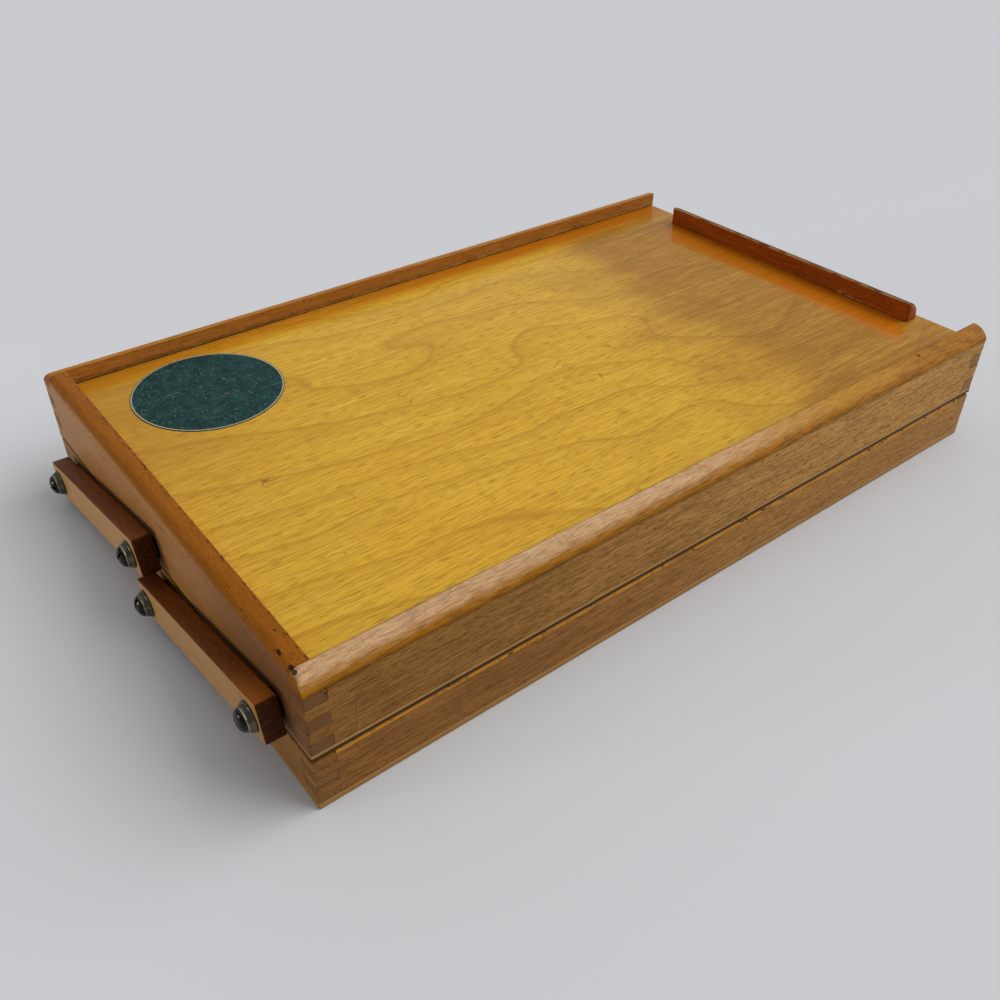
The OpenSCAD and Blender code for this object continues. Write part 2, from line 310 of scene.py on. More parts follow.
def grained(tree, space, under, *layers):
    """Paints figures over a colour. Each has its colour, its cover and the settings of its figure."""
    for over, cover, *shape in layers:
        under = paint(tree, under, over, figure(tree, space, *shape), cover=cover)
    return under


def scratches(tree, space, size, width, offset):
    """Thin wandering lines in short runs: 1 on a line and 0 elsewhere."""
    wander = add(tree, MATH, figure(tree, space, size, 0, 1, 1, offset), 0.5, operation="SUBTRACT")
    line = add(tree, RANGE, add(tree, MATH, wander, operation="ABSOLUTE"), width, width * 0.3, **EASED)
    runs = figure(tree, space, tuple(s * 0.6 for s in size), 0.60, 0.66, 0, offset + 5)
    return add(tree, MATH, line, runs, **TIMES)


def ding(tree, space, place, size):
    """A dent in the varnish: 1 within about size millimetres of a place, with a torn outline."""
    apart = add(tree, VECTOR, space, place, operation="SUBTRACT")
    apart = add(tree, VECTOR, apart, tuple(1 / s for s in size), **TIMES)
    reach = add(tree, VECTOR, apart, operation="LENGTH")
    torn = add(tree, MATH, figure(tree, space, (0.9, 0.9, 0.9), 0, 1, 2, 4.0), 1.2, reach, **TIMES_ADD)
    return add(tree, RANGE, torn, 1.75, 1.4, **EASED)


def facing(tree, way, low, high):
    """Where a surface faces a way, eased from low to high of its cosine."""
    normal = add(tree, "ShaderNodeTexCoord", out="Normal")
    turned = add(tree, VECTOR, normal, way, operation="DOT_PRODUCT")
    return add(tree, RANGE, turned, low, high, **EASED)


def across(tree, axis, low=0.72, high=0.92):
    """Where a face lies across an axis, on either side."""
    return add(tree, MATH, facing(tree, axis, low, high), facing(tree, -axis, low, high), **LARGER)


def varnish(tree, shader, colour, roughness, coat, coat_roughness, relief, depth, tint):
    """Sets a varnished surface: its colour and relief, a warm sheen, and the clear coat over them."""
    tree.links.new(colour, shader.inputs["Base Color"])
    shader.inputs["Roughness"].default_value = roughness
    shader.inputs["Specular IOR Level"].default_value = SHEEN
    shader.inputs["Specular Tint"].default_value = (*tint, 1.0)
    shader.inputs["Coat Weight"].default_value = coat
    shader.inputs["Coat Roughness"].default_value = coat_roughness
    bump = add(tree, "ShaderNodeBump", RELIEF, depth, None, relief)
    tree.links.new(bump, shader.inputs["Normal"])


def sunk(tree, pores, fibres):
    """The relief of open grain, which is lower in its pores and fibres."""
    return add(tree, MATH, add(tree, MATH, pores, fibres, operation="ADD"), -1.0, **TIMES)


def beech_figure(tree, space, tone, dark, fleck, cover=0.5, lines=0.6):
    """Beech: faint broad streaks along X, fine fibres, and the short dark flecks of its rays.

    Gives the colour, and the relief of the open fibres."""
    colour = grained(
        tree, space, tone,
        (dark, 0.15, (130, 5, 5), 0.38, 0.68, 3),
        (dark, 0.2, (46, 15, 15), 0.42, 0.72, 1, 4.0),
    )
    # Fibres and flecks are 0.1 to 0.2 mm wide on the real wood, drawn wider to show in the render
    fibres = figure(tree, space, (14, 0.38, 0.38), 0.47, 0.57, 1, 8.0)
    colour = paint(tree, colour, dark, fibres, cover=lines)
    flecks = figure(tree, space, (2.8, 0.3, 0.3), 0.58, 0.65, 0)
    colour = paint(tree, colour, fleck, flecks, cover=cover)
    return colour, sunk(tree, flecks, fibres)


def dirty_seams(wood, tree, space, colour):
    """Lays dirt over a colour, here and there along the mesh's open seams."""
    seam = add(tree, "ShaderNodeAttribute", out="Fac", attribute_name="seam")
    patches = figure(tree, space, (5, 5, 5), 0.38, 0.56, 1, 2.0)
    return paint(tree, colour, wood.dirt_and_shade, seam, patches, cover=0.8)


def lid_line(tree, z):
    """1 at the height where the lid's upper face meets its grooves."""
    return band(tree, z, LID_TOP / MM - 0.3, LID_TOP / MM + 0.45, 0.2)


def worn_rail(wood, tree, space, crease):
    """The rails: the front one rubbed to pale wood above a strip of amber, and the back one brown."""
    x, y, z = add(tree, SPLIT, space).node.outputs
    left = LEFT_X / MM
    inner = (FRONT_Y + WALL) / MM
    # Rubbed wood, finely streaked and hatched, and golden to the right
    bare = grained(
        tree, space, wood.rubbed,
        (wood.rubbed_bar, 0.35, (8, 2.5, 2.5), 0.46, 0.66, 2, 1.0),
        (wood.rubbed_light, 0.5, (6, 0.5, 0.5), 0.50, 0.60, 1, 9.0),
        (wood.rubbed_bar, 0.5, (4, 0.4, 0.4), 0.53, 0.61, 1, 6.0),
    )
    bars = figure(tree, space, (0.5, 2.2, 2.2), 0.54, 0.62, 1, 3.0)
    patches = figure(tree, space, (10, 8, 8), 0.44, 0.58, 1, 14.0)
    bare = paint(tree, bare, wood.rubbed_bar, bars, patches, cover=0.4)
    blur = add(tree, MATH, figure(tree, space, (30, 5, 5), 0, 1, 2, 5.0), 50.0, x, **TIMES_ADD)
    gold = grained(tree, space, wood.golden, (wood.amber_dark, 0.5, (5, 0.5, 0.5), 0.5, 0.62, 1, 12.0))
    bare = paint(tree, bare, gold, add(tree, RANGE, blur, 0.0, 95.0, **EASED), cover=0.95)
    # Amber varnish left above the crease, with a ragged upper edge, and over all of the right end
    amber = grained(
        tree, space, wood.amber,
        (wood.amber_dark, 0.6, (6, 0.5, 0.5), 0.47, 0.60, 1, 17.0),
        (wood.wall_dark, 0.45, (9, 2, 2), 0.5, 0.62, 2, 23.0),
    )
    foot = add(tree, RANGE, z, crease + 1.2, crease, **EASED)
    amber = paint(tree, amber, wood.amber_dark, foot, cover=0.7)
    ragged = add(tree, MATH, figure(tree, space, (7, 1.0, 1.0), 0, 1, 4, 2.0), -2.6, z, **TIMES_ADD)
    start = crease + wood.amber_band / MM - 1.3
    worn = add(tree, RANGE, ragged, start - 1.5, start + 1.5, **EASED)
    rail = paint(tree, amber, bare, worn, add(tree, RANGE, blur, 160.0, 105.0, **EASED))
    edge = add(tree, RANGE, y, inner - 0.6, inner - 0.15, **EASED)
    rail = paint(tree, rail, wood.fleck, edge, cover=0.55)
    knock = ding(tree, space, (119.0, -97.0, 50.8), (1.0, 1.0, 1.0))
    rail = paint(tree, rail, wood.dirt_and_shade, knock, cover=0.85)
    back, _ = beech_figure(tree, space, wood.back_rail, wood.end, wood.fleck, 0.25)
    rail = paint(tree, back, rail, add(tree, RANGE, y, 5.0, -5.0, **EASED))
    # The left corner keeps its varnish, and the rail's sawn end is brown
    corner = add(tree, MATH, figure(tree, space, (3, 2, 2), 0, 1, 3, 16.0), 2.0, x, **TIMES_ADD)
    corner = add(tree, RANGE, corner, left + 2.8, left + 1.0, **EASED)
    rail = paint(tree, rail, wood.amber, corner, cover=0.7)
    sawn = grained(tree, space, wood.end, (wood.end_grain, 0.6, (2, 1, 1), 0.4, 0.62, 2, 18.0))
    rail = paint(tree, rail, sawn, facing(tree, -RIGHT, 0.45, 0.8))
    knock = ding(tree, space, (-160.4, -96.2, 50.6), (0.8, 1.0, 1.2))
    return paint(tree, rail, wood.dirt_and_shade, knock, cover=0.9)


def beech_wall(wood):
    """Varnished beech of the long walls: brown and flecked, the front rail rubbed to pale bare wood."""
    material, tree, shader = new_material("beech_varnished_wall")
    space = grain_space(tree)
    x, y, z = add(tree, SPLIT, space).node.outputs
    # Painted light: the long walls grow paler to the right, and their dark streaks fade, as if lit more from
    # the right
    tone = paint(tree, wood.wall, wood.wall_lit_right, add(tree, RANGE, x, -160.0, 100.0, **EASED))
    dark = paint(tree, wood.wall_dark, wood.wall, add(tree, RANGE, x, -110.0, 150.0, **EASED), cover=0.7)
    colour, relief = beech_figure(tree, space, tone, dark, wood.fleck)
    low = add(tree, RANGE, z, LOWER_TOP / MM + 0.5, LOWER_TOP / MM - 0.5, **EASED)
    colour = paint(tree, colour, wood.wall_red, low, cover=0.25)
    colour = paint(tree, colour, wood.end_grain, across(tree, RIGHT), cover=0.35)

    # The rail begins at a crease, with a soft band of painted shade just below it, a frayed edge to the rail
    # above it, and a stained line along it
    crease = (RAIL_TOP - wood.rail_round) / MM
    under = band(tree, z, crease - 1.2, crease + 0.4, 0.9)
    colour = paint(tree, colour, wood.wall_dark, under, cover=0.35)
    fray = add(tree, MATH, figure(tree, space, (6, 1.0, 1.0), 0, 1, 3, 13.0), 1.8, z, **TIMES_ADD)
    above = add(tree, RANGE, fray, crease + 0.4, crease + 1.5, **EASED)
    colour = paint(tree, colour, worn_rail(wood, tree, space, crease), above)
    stains = figure(tree, space, (6, 1.2, 1.2), 0.50, 0.62, 3, 11.0)
    line = band(tree, z, crease - 0.6, crease + 0.2, 0.4)
    colour = paint(tree, colour, wood.dirt_and_shade, stains, line, cover=0.3)
    # Painted shade: a dark line on the walls where the lid meets its groove
    inner = -(FRONT_Y + WALL) / MM
    within = add(tree, RANGE, add(tree, MATH, y, operation="ABSOLUTE"), inner + 1.6, inner + 0.6, **EASED)
    colour = paint(tree, colour, wood.dirt_and_shade, within, lid_line(tree, z), cover=0.8)

    # Painted highlight: an orange band where the lower tray's top edge catches the light, nicked dark here
    # and there; a score line at the left, seams and chips
    rim = band(tree, z, (LOWER_TOP - wood.rim_highlight_height) / MM, LOWER_TOP / MM + 0.3, 0.2)
    kept = figure(tree, space, (16, 4, 4), 0.3, 0.5, 2, 19.0)
    colour = paint(tree, colour, wood.rim_highlight_orange, rim, kept, cover=0.9)
    nicks = figure(tree, space, (2.2, 1.5, 1.5), 0.64, 0.68, 1, 29.0)
    colour = paint(tree, colour, wood.dirt_and_shade, rim, nicks, cover=0.8)
    score = band(tree, add(tree, MATH, z, -0.07, x, **TIMES_ADD), -149.7, -149.5, 0.15)
    colour = paint(tree, colour, wood.dirt_and_shade, score, band(tree, z, 25.0, 39.0, 2.0), cover=0.6)
    colour = grained(tree, space, colour, (wood.dirt_and_shade, 0.5, (1.6, 0.7, 0.9), 0.72, 0.77, 1, 21.0))
    colour = dirty_seams(wood, tree, space, colour)
    wear = add(tree, "ShaderNodeAttribute", out="Fac", attribute_name="wear")
    chips = figure(tree, space, (3, 1.2, 1.2), 0.58, 0.66, 2, 15.0)
    colour = paint(tree, colour, wood.dirt_and_shade, wear, chips, cover=0.5)
    varnish(tree, shader, colour, 0.5, 0.03, 0.3, relief, 0.04 * MM, wood.sheen)
    return material


def beech_end(wood):
    """Amber varnished beech of the end walls: orange-brown and dinged on top, paler on its faces."""
    material, tree, shader = new_material("beech_varnished_end")
    plain = grain_space(tree)
    space = grain_space(tree, turn=(0, 0, -math.pi / 2))
    x, y, z = add(tree, SPLIT, plain).node.outputs
    top, relief = beech_figure(tree, space, wood.end, wood.end_dark, wood.fleck, 0.25, 0.4)
    top = grained(tree, space, top, (wood.end_dark, 0.4, (14, 3, 3), 0.45, 0.65, 3, 6.0))
    face, _ = beech_figure(tree, space, wood.end_face, wood.end, wood.fleck, 0.25, 0.3)
    # Darker brown towards the front of the upper left end's outer face
    front = add(tree, RANGE, y, -20.0, -90.0, **EASED)
    upper = add(tree, RANGE, z, LOWER_TOP / MM, LOWER_TOP / MM + 3.0, **EASED)
    face = paint(tree, face, wood.end_front_brown, front, upper, cover=0.8)
    lower = add(tree, RANGE, z, LOWER_TOP / MM + 0.5, LOWER_TOP / MM - 0.5, **EASED)
    brown = grained(tree, space, wood.wall, (wood.wall_dark, 0.6, (14, 0.5, 0.5), 0.42, 0.56, 1, 8.0))
    face = paint(tree, face, brown, lower, cover=0.85)
    # Painted shadow: a dark line along the upper edges of the links, on the outer face alone
    outer = add(tree, RANGE, x, LEFT_X / MM + 2.0, LEFT_X / MM + 1.0, **EASED)
    for place in ("left_rear", "left_front"):
        foot, head = pivot_place(f"{place}_lower") / MM, pivot_place(f"{place}_upper") / MM
        along = (head - foot).normalized()
        square = Vector((0, -along.z, along.y)) * math.copysign(1, along.y)
        above = add(tree, VECTOR, plain, foot, operation="SUBTRACT")
        above = add(tree, VECTOR, above, square, operation="DOT_PRODUCT")
        beside = band(tree, y, head.y - 6.0, foot.y + 6.0, 1.0)
        face = paint(tree, face, wood.dirt_and_shade, band(tree, above, 6.0, 7.6, 1.0), beside, outer, cover=0.6)
    colour = paint(tree, face, top, facing(tree, UP, 0.2, 0.7))
    # Finger tips: dark sawn ends with a fine hatch across them
    tips = grained(tree, space, wood.end_grain, (wood.fleck, 0.5, (3, 0.9, 0.35), 0.45, 0.62, 2, 3.0))
    # The finger tips also pale to the right, with the walls' painted light
    tips = paint(tree, tips, wood.wall_lit_right, add(tree, RANGE, x, -150.0, 150.0), cover=0.6)
    colour = paint(tree, colour, tips, across(tree, BACK), cover=0.5)
    # Dings: crowded along the edge where the lid knocks, sparse on the rest
    inner = INNER_LEFT_X / MM
    edge = add(tree, RANGE, x, inner - 2.0, inner - 0.3, **EASED)
    high = add(tree, RANGE, z, RAIL_TOP / MM - 1.6, RAIL_TOP / MM - 0.5, **EASED)
    crowd = figure(tree, space, (2.4, 0.8, 0.8), 0.52, 0.62, 2, 5.0)
    colour = paint(tree, colour, wood.dirt_and_shade, edge, high, crowd, cover=0.75)
    colour = grained(tree, space, colour, (wood.dirt_and_shade, 0.7, (2.6, 1.0, 1.0), 0.72, 0.77, 1, 9.0))
    for dent in ((-160.4, -87.3, 51.0), (-160.4, -94.4, 51.0)):
        colour = paint(tree, colour, wood.dirt_and_shade, ding(tree, plain, dent, (0.6, 1.5, 1.0)), cover=0.9)
    # Painted shade: a dark line on the end walls where the lid meets its groove
    within = band(tree, x, inner - 1.0, -inner + 1.0, 0.4)
    colour = paint(tree, colour, wood.dirt_and_shade, lid_line(tree, z), within, cover=0.8)
    colour = dirty_seams(wood, tree, space, colour)
    varnish(tree, shader, colour, 0.45, 0.04, 0.22, relief, 0.04 * MM, wood.sheen)
    return material


def beech_link(wood, along):
    """Beech of the links: smooth pale broad faces, red-brown varnish on the edges, dark stained ends."""
    material, tree, shader = new_material("beech_link")
    space = grain_space(tree, turn=(math.atan2(along.z, -along.y), 0, -math.pi / 2))
    face, relief = beech_figure(tree, space, wood.link, wood.link_dark, wood.link_dark, 0.4)
    edge, _ = beech_figure(tree, space, wood.link_top, wood.link_stain, wood.link_end, 0.5)
    # Painted light: the front links' edges turn orange towards their front ends, where the light falls on
    # them
    _, y, _ = add(tree, SPLIT, grain_space(tree)).node.outputs
    edge = paint(tree, edge, wood.link_lit_orange, add(tree, RANGE, y, -62.0, -88.0, **EASED), cover=0.4)
    cracks = figure(tree, space, (0.6, 9, 9), 0.62, 0.70, 2, 7.0)
    patches = figure(tree, space, (14, 5, 5), 0.5, 0.6, 1, 3.0)
    edge = paint(tree, edge, wood.dirt_and_shade, cracks, patches, cover=0.6)
    ends = across(tree, along, 0.55, 0.75)
    sawn = grained(tree, space, wood.link_end, (wood.link_stain, 0.5, (2, 1.6, 1.6), 0.45, 0.62, 3, 5.0))
    edge = paint(tree, edge, sawn, ends)
    colour = paint(tree, edge, face, across(tree, RIGHT))
    varnish(tree, shader, colour, 0.45, 0.05, 0.3, relief, 0.03 * MM, wood.sheen)
    return material


def beech_pull(wood):
    """Red-brown varnished beech of the pull, its back stained dark and its long upper edge chipped pale."""
    material, tree, shader = new_material("beech_pull")
    space = grain_space(tree, turn=(0, 0, -math.pi / 2))
    colour, relief = beech_figure(tree, space, wood.pull, wood.pull_dark, wood.pull_dark, 0.5)
    colour = paint(tree, colour, wood.link_end, facing(tree, UP, 0.45, 0.75), cover=0.75)
    cloudy = figure(tree, space, (2, 2, 2), 0.35, 0.6, 2, 4.0)
    colour = paint(tree, colour, wood.end_face, across(tree, BACK), cloudy, cover=0.4)
    # Chips along the long upper edge
    x, y, z = add(tree, SPLIT, grain_space(tree)).node.outputs
    top = add(tree, RANGE, z, PULL_HIGH.z / MM - 0.7, PULL_HIGH.z / MM - 0.3, **EASED)
    left = add(tree, RANGE, x, PULL_LOW.x / MM + 1.2, PULL_LOW.x / MM + 0.7, **EASED)
    chips = figure(tree, space, (6, 1.2, 1.2), 0.38, 0.54, 3, 2.0)
    colour = paint(tree, colour, wood.pale, top, left, chips, cover=0.7)
    # Pale nicks near the foot, towards the front, and a dark line of painted shade along the foot, where the
    # pull meets the lid
    nicks = figure(tree, space, (1.0, 0.6, 0.6), 0.60, 0.64, 1, 6.0)
    front = band(tree, y, -48.0, -34.0, 3.0)
    foot = band(tree, z, PULL_LOW.z / MM + 0.6, PULL_LOW.z / MM + 2.2, 0.5)
    colour = paint(tree, colour, wood.rubbed_light, nicks, front, foot, cover=0.8)
    foot_shade_line = add(tree, RANGE, z, PULL_LOW.z / MM + 0.4, PULL_LOW.z / MM + 0.1, **EASED)
    colour = paint(tree, colour, wood.dirt_and_shade, foot_shade_line, cover=0.5)
    varnish(tree, shader, colour, 0.45, 0.05, 0.25, relief, 0.05 * MM, wood.sheen)
    return material


def plywood(wood):
    """Thin plywood: golden faces with long grain, and layers of light and dark on its edges."""
    material, tree, shader = new_material("plywood_varnished")
    space = grain_space(tree)
    fibres = figure(tree, space, (30, 0.8, 0.3), 0.4, 0.7, 3)
    face = paint(tree, wood.ply, wood.ply_dark, fibres, cover=0.6)
    layer = add(tree, "ShaderNodeAttribute", out="Fac", attribute_name="layer")
    edge = paint(tree, wood.ply, wood.ply_core, band(tree, layer, 0.42, 0.56, 0.06), cover=0.6)
    edge = paint(tree, edge, wood.ply_dark, add(tree, RANGE, layer, 0.3, 0.1, **EASED), cover=0.9)
    edge = paint(tree, edge, wood.ply_dark, fibres, cover=0.4)
    # Painted shade: the upper panel's edge is dark below its top layers, in the gap where the trays meet
    _, _, z = add(tree, SPLIT, space).node.outputs
    upper = add(tree, RANGE, z, LOWER_TOP / MM - 3.0, LOWER_TOP / MM, **EASED)
    edge = paint(tree, edge, wood.dirt_and_shade, upper, add(tree, RANGE, layer, 0.66, 0.54, **EASED), cover=0.9)
    colour = paint(tree, edge, face, across(tree, UP))
    varnish(tree, shader, colour, 0.5, 0.1, 0.3, fibres, 0.03 * MM, wood.sheen)
    return material


def amber_and_reflection(lid, tree, space, threads):
    """Deep amber along the back rail and beside the pull, partly thick varnish and partly a painted
    reflection of the rail and the pull: its colour, and where it lies.
    """
    x, y, _ = add(tree, SPLIT, space).node.outputs
    inner = (-FRONT_Y - WALL) / MM
    width = lid.band / MM
    along = add(tree, RANGE, y, inner - width * 0.8, inner - width * 0.3, **EASED)
    along = add(tree, MATH, along, add(tree, RANGE, x, -150.0, 60.0, 0.5, 1.0), **TIMES)
    pull_x = PULL_LOW.x / MM
    # The band beside the pull slants across the lid like the pull's painted mirror image
    level = add(tree, MATH, add(tree, MATH, x, pull_x, operation="SUBTRACT"), -0.7, y, **TIMES_ADD)
    ends = band(tree, level, PULL_LOW.y / MM + 3.0, PULL_HIGH.y / MM, 3.0)
    beside = add(tree, RANGE, x, pull_x - width * 1.15, pull_x - width * 0.75, **EASED)
    beside = add(tree, MATH, beside, ends, **TIMES)
    # Painted light: the amber grows brighter towards the pull's front end
    front = add(tree, RANGE, y, 10.0, -60.0, **EASED)
    amber = paint(tree, lid.amber, lid.amber_lit, front, beside)
    amber = paint(tree, amber, lid.amber_dark, threads, cover=0.35)
    return amber, add(tree, MATH, along, beside, **LARGER)


def lid_veneer(lid):
    """Golden varnished veneer: long fine grain, short dark pores, wandering rings, dents and stains."""
    material, tree, shader = new_material("veneer_varnished")
    space = grain_space(tree)
    x, y, _ = add(tree, SPLIT, space).node.outputs
    # Browner towards the pull, across a slanting, cloudy edge: partly the veneer's own tone, partly a painted
    # fall-off of the broad golden highlight over the middle of the lid
    slant = add(tree, MATH, y, -0.14, x, **TIMES_ADD)
    slant = add(tree, MATH, figure(tree, space, (46, 40, 40), 0, 1, 2, 1.0), 56.0, slant, **TIMES_ADD)
    brown = add(tree, RANGE, slant, 62.0, 128.0, **EASED)
    tone = paint(tree, lid.veneer, lid.veneer_brown, brown)
    dark = paint(tree, lid.grain, lid.grain_brown, brown)
    # Long grain, light and dark. Pores are 0.1 mm wide on the real veneer, drawn wider to show
    colour = grained(tree, space, tone, (lid.light, 0.2, (60, 2.2, 2.2), 0.46, 0.70, 3, 7.0))
    threads = figure(tree, space, (30, 0.46, 0.46), 0.49, 0.58, 1, 12.0)
    colour = paint(tree, colour, dark, threads, cover=0.4)
    colour = grained(tree, space, colour, (lid.light, 0.25, (14, 0.5, 0.5), 0.56, 0.64, 1, 27.0))
    pores = figure(tree, space, (6.0, 0.42, 0.42), 0.60, 0.65, 0)
    colour = paint(tree, colour, lid.grain_brown, pores, cover=0.45)
    # Rings of flat-cut veneer: nearly straight at the left, wandering more and more to the right
    sway = figure(tree, space, (120, 62, 62), 0, 1, 1.4, 2.6)
    sway = add(tree, MATH, sway, add(tree, RANGE, x, -170.0, 60.0, 0.8, 4.2), **TIMES)
    ring = add(tree, MATH, add(tree, MATH, y, 1 / 24, sway, **TIMES_ADD), operation="FRACT")
    colour = paint(tree, colour, dark, add(tree, RANGE, ring, 0.55, 0.95), cover=0.25)
    calm = add(tree, RANGE, brown, 0.0, 1.0, 1.0, 0.3)
    colour = paint(tree, colour, dark, band(tree, ring, 0.93, 0.975, 0.025), calm, cover=0.45)
    # Deeper gold in the back left corner, stains, thick varnish with its painted reflection of the rail and
    # the pull, dents and scratches
    left = add(tree, RANGE, x, -70.0, -150.0, **EASED)
    back = add(tree, RANGE, y, -30.0, 70.0, **EASED)
    colour = paint(tree, colour, lid.veneer_brown, left, back, cover=0.6)
    colour = grained(tree, space, colour, (lid.amber, 0.4, (7, 5, 5), 0.68, 0.80, 2, 15.0))
    amber, thick = amber_and_reflection(lid, tree, space, threads)
    colour = paint(tree, colour, amber, thick, cover=0.9)
    colour = grained(tree, space, colour, (lid.tick, 0.7, (1.7, 0.8, 0.8), 0.76, 0.79, 1, 9.0))
    colour = paint(tree, colour, lid.tick, scratches(tree, space, (24, 17, 17), 0.004, 31.0), cover=0.55)
    varnish(tree, shader, colour, 0.45, 0.26, 0.1, sunk(tree, pores, threads), 0.03 * MM, lid.light)
    return material


def label_print(lid):
    """A glazed paper label: dark green with a thin cream border, scuffed in fine specks and hair lines."""
    material, tree, shader = new_material("label_paper")
    space = grain_space(tree)
    middle = (LABEL_LOW + LABEL_HIGH) / 2 / MM
    radius = (LABEL_HIGH.x - LABEL_LOW.x) / 2 / MM
    away = add(tree, VECTOR, space, middle, operation="DISTANCE")
    colour = paint(tree, lid.green, lid.teal, figure(tree, space, (5, 5, 5), 0.35, 0.75, 4, 2.0))
    hair = add(tree, MATH, scratches(tree, space, (3.2, 1.7, 1.7), 0.03, 3.0),
               scratches(tree, space, (1.6, 3.0, 1.7), 0.03, 13.0), **LARGER)
    specks = figure(tree, space, (0.5, 0.5, 0.5), 0.70, 0.78, 1, 8.0)
    scuffs = add(tree, MATH, hair, specks, **LARGER)
    colour = paint(tree, colour, lid.scuff, scuffs, cover=0.4)
    edge = radius - lid.border / MM
    border = band(tree, away, edge - 0.1, radius - 0.22, 0.08)
    colour = paint(tree, colour, lid.cream, border, figure(tree, space, (0.9, 0.9, 0.9), 0.26, 0.4, 2, 5.0))
    varnish(tree, shader, colour, 0.5, 0.03, 0.3, scuffs, 0.02 * MM, lid.cream)
    return material


def steel(name, colour, roughness, bright=None, lip=0.0):
    """Steel or dull nickel plate: a metal with fine uneven tarnish, rubbed bright beyond a lip."""
    material, tree, shader = new_material(name)
    space = grain_space(tree)
    tarnish = figure(tree, space, (1.4, 1.4, 1.4), 0.42, 0.72, 3)
    shade = paint(tree, colour, tuple(c * 0.4 for c in colour), tarnish, cover=0.6)
    if bright:
        out = add(tree, MATH, add(tree, SPLIT, space), operation="ABSOLUTE")
        rubbed = add(tree, RANGE, out, lip / MM - 0.12, lip / MM + 0.12, **EASED)
        shade = paint(tree, shade, bright, rubbed)
    tree.links.new(shade, shader.inputs["Base Color"])
    rough = add(tree, RANGE, tarnish, 0.0, 1.0, roughness * 0.8, roughness * 1.4)
    tree.links.new(rough, shader.inputs["Roughness"])
    shader.inputs["Metallic"].default_value = 1.0
    return material


# Probe for faces that touch: how far off a face, how far in from its edge, along which ray, and how far
# past a face that it has met the ray goes on
PROBE_OFF = 0.08 * MM
PROBE_IN = 0.3 * MM
PROBE_RAY = Vector((0.31, 0.52, 0.79)).normalized()
PROBE_STEP = 1e-7
# Angles of edges: sharp, folded back on a film without thickness, all but flat, and part of a curve
SHARP = math.radians(32)
FOLDED = math.radians(170)
FLAT = math.radians(0.5)
CURVED = (math.radians(1), math.radians(12))
# How far a film's tip is let down, how near a bore an edge stays as it is, and how near points join
FILM_DROP = 0.05 * MM
BORE_REACH = 3.2 * MM
JOIN_REACH = 0.001 * MM
# Length of the pieces of a dented edge, and the sizes of its dents
DENT_STEP = 2.5 * MM
DENT_COARSE = 5 * MM
DENT_FINE = 1.7 * MM


def solid(node):
    """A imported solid's box and its search tree."""
    mesh = frame["nodes"][node].data
    corners = [v.co.copy() for v in mesh.vertices]
    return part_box(node), BVHTree.FromPolygons(corners, [tuple(p.vertices) for p in mesh.polygons])


def inside(shape, point):
    """Whether a point lies in a solid, from the number of faces on a ray."""
    (low, high), tree = shape
    if any(point[i] < low[i] or point[i] > high[i] for i in range(3)):
        return False
    hits = 0
    found = tree.ray_cast(point, PROBE_RAY)[0]
    while found is not None:
        hits += 1
        found = tree.ray_cast(found + PROBE_RAY * PROBE_STEP, PROBE_RAY)[0]
    return hits % 2 == 1


def middle_of(edge):
    """The middle of an edge."""
    return (edge.verts[0].co + edge.verts[1].co) / 2


def touches(edge, face, shapes):
    """Whether a face lies against another solid just beside one of its edges."""
    along = (edge.verts[1].co - edge.verts[0].co).normalized()
    inward = face.normal.cross(along)
    loop = next(item for item in face.loops if item.edge == edge)
    if loop.vert != edge.verts[0]:
        inward = -inward
    point = middle_of(edge) + inward * PROBE_IN + face.normal * PROBE_OFF
    return any(inside(shape, point) for shape in shapes)


def pivot_place(pivot):
    """Where a pivot's axis meets the outer face of its end wall."""
    low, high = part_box(f"spacer_{pivot}")
    middle = (low + high) / 2
    return Vector((high.x if middle.x < 0 else low.x, middle.y, middle.z))


def sharp_edges(bm, shapes):
    """The outward sharp edges of a mesh: free ones, and ones where a free face meets a glued one."""
    free, glued = [], []
    axes = [pivot_place(pivot) for pivot in PIVOTS]
    for edge in bm.edges:
        if len(edge.link_faces) != 2 or not SHARP < edge.calc_face_angle_signed() < FOLDED:
            continue
        if any((middle_of(edge) - axis).yz.length < BORE_REACH for axis in axes):
            continue
        touching = sum(touches(edge, face, shapes) for face in edge.link_faces)
        if touching == 0:
            free.append(edge)
        elif touching == 1:
            glued.append(edge)
    return free, glued


def round_edges(bm, edges, width, steps):
    """Rounds some edges and returns the new faces."""
    made = bmesh.ops.bevel(
        bm, geom=edges, offset=width, offset_type="OFFSET", segments=steps, profile=0.5, affect="EDGES",
        clamp_overlap=False, loop_slide=False, miter_outer="SHARP", miter_inner="SHARP",
    )
    return made["faces"]


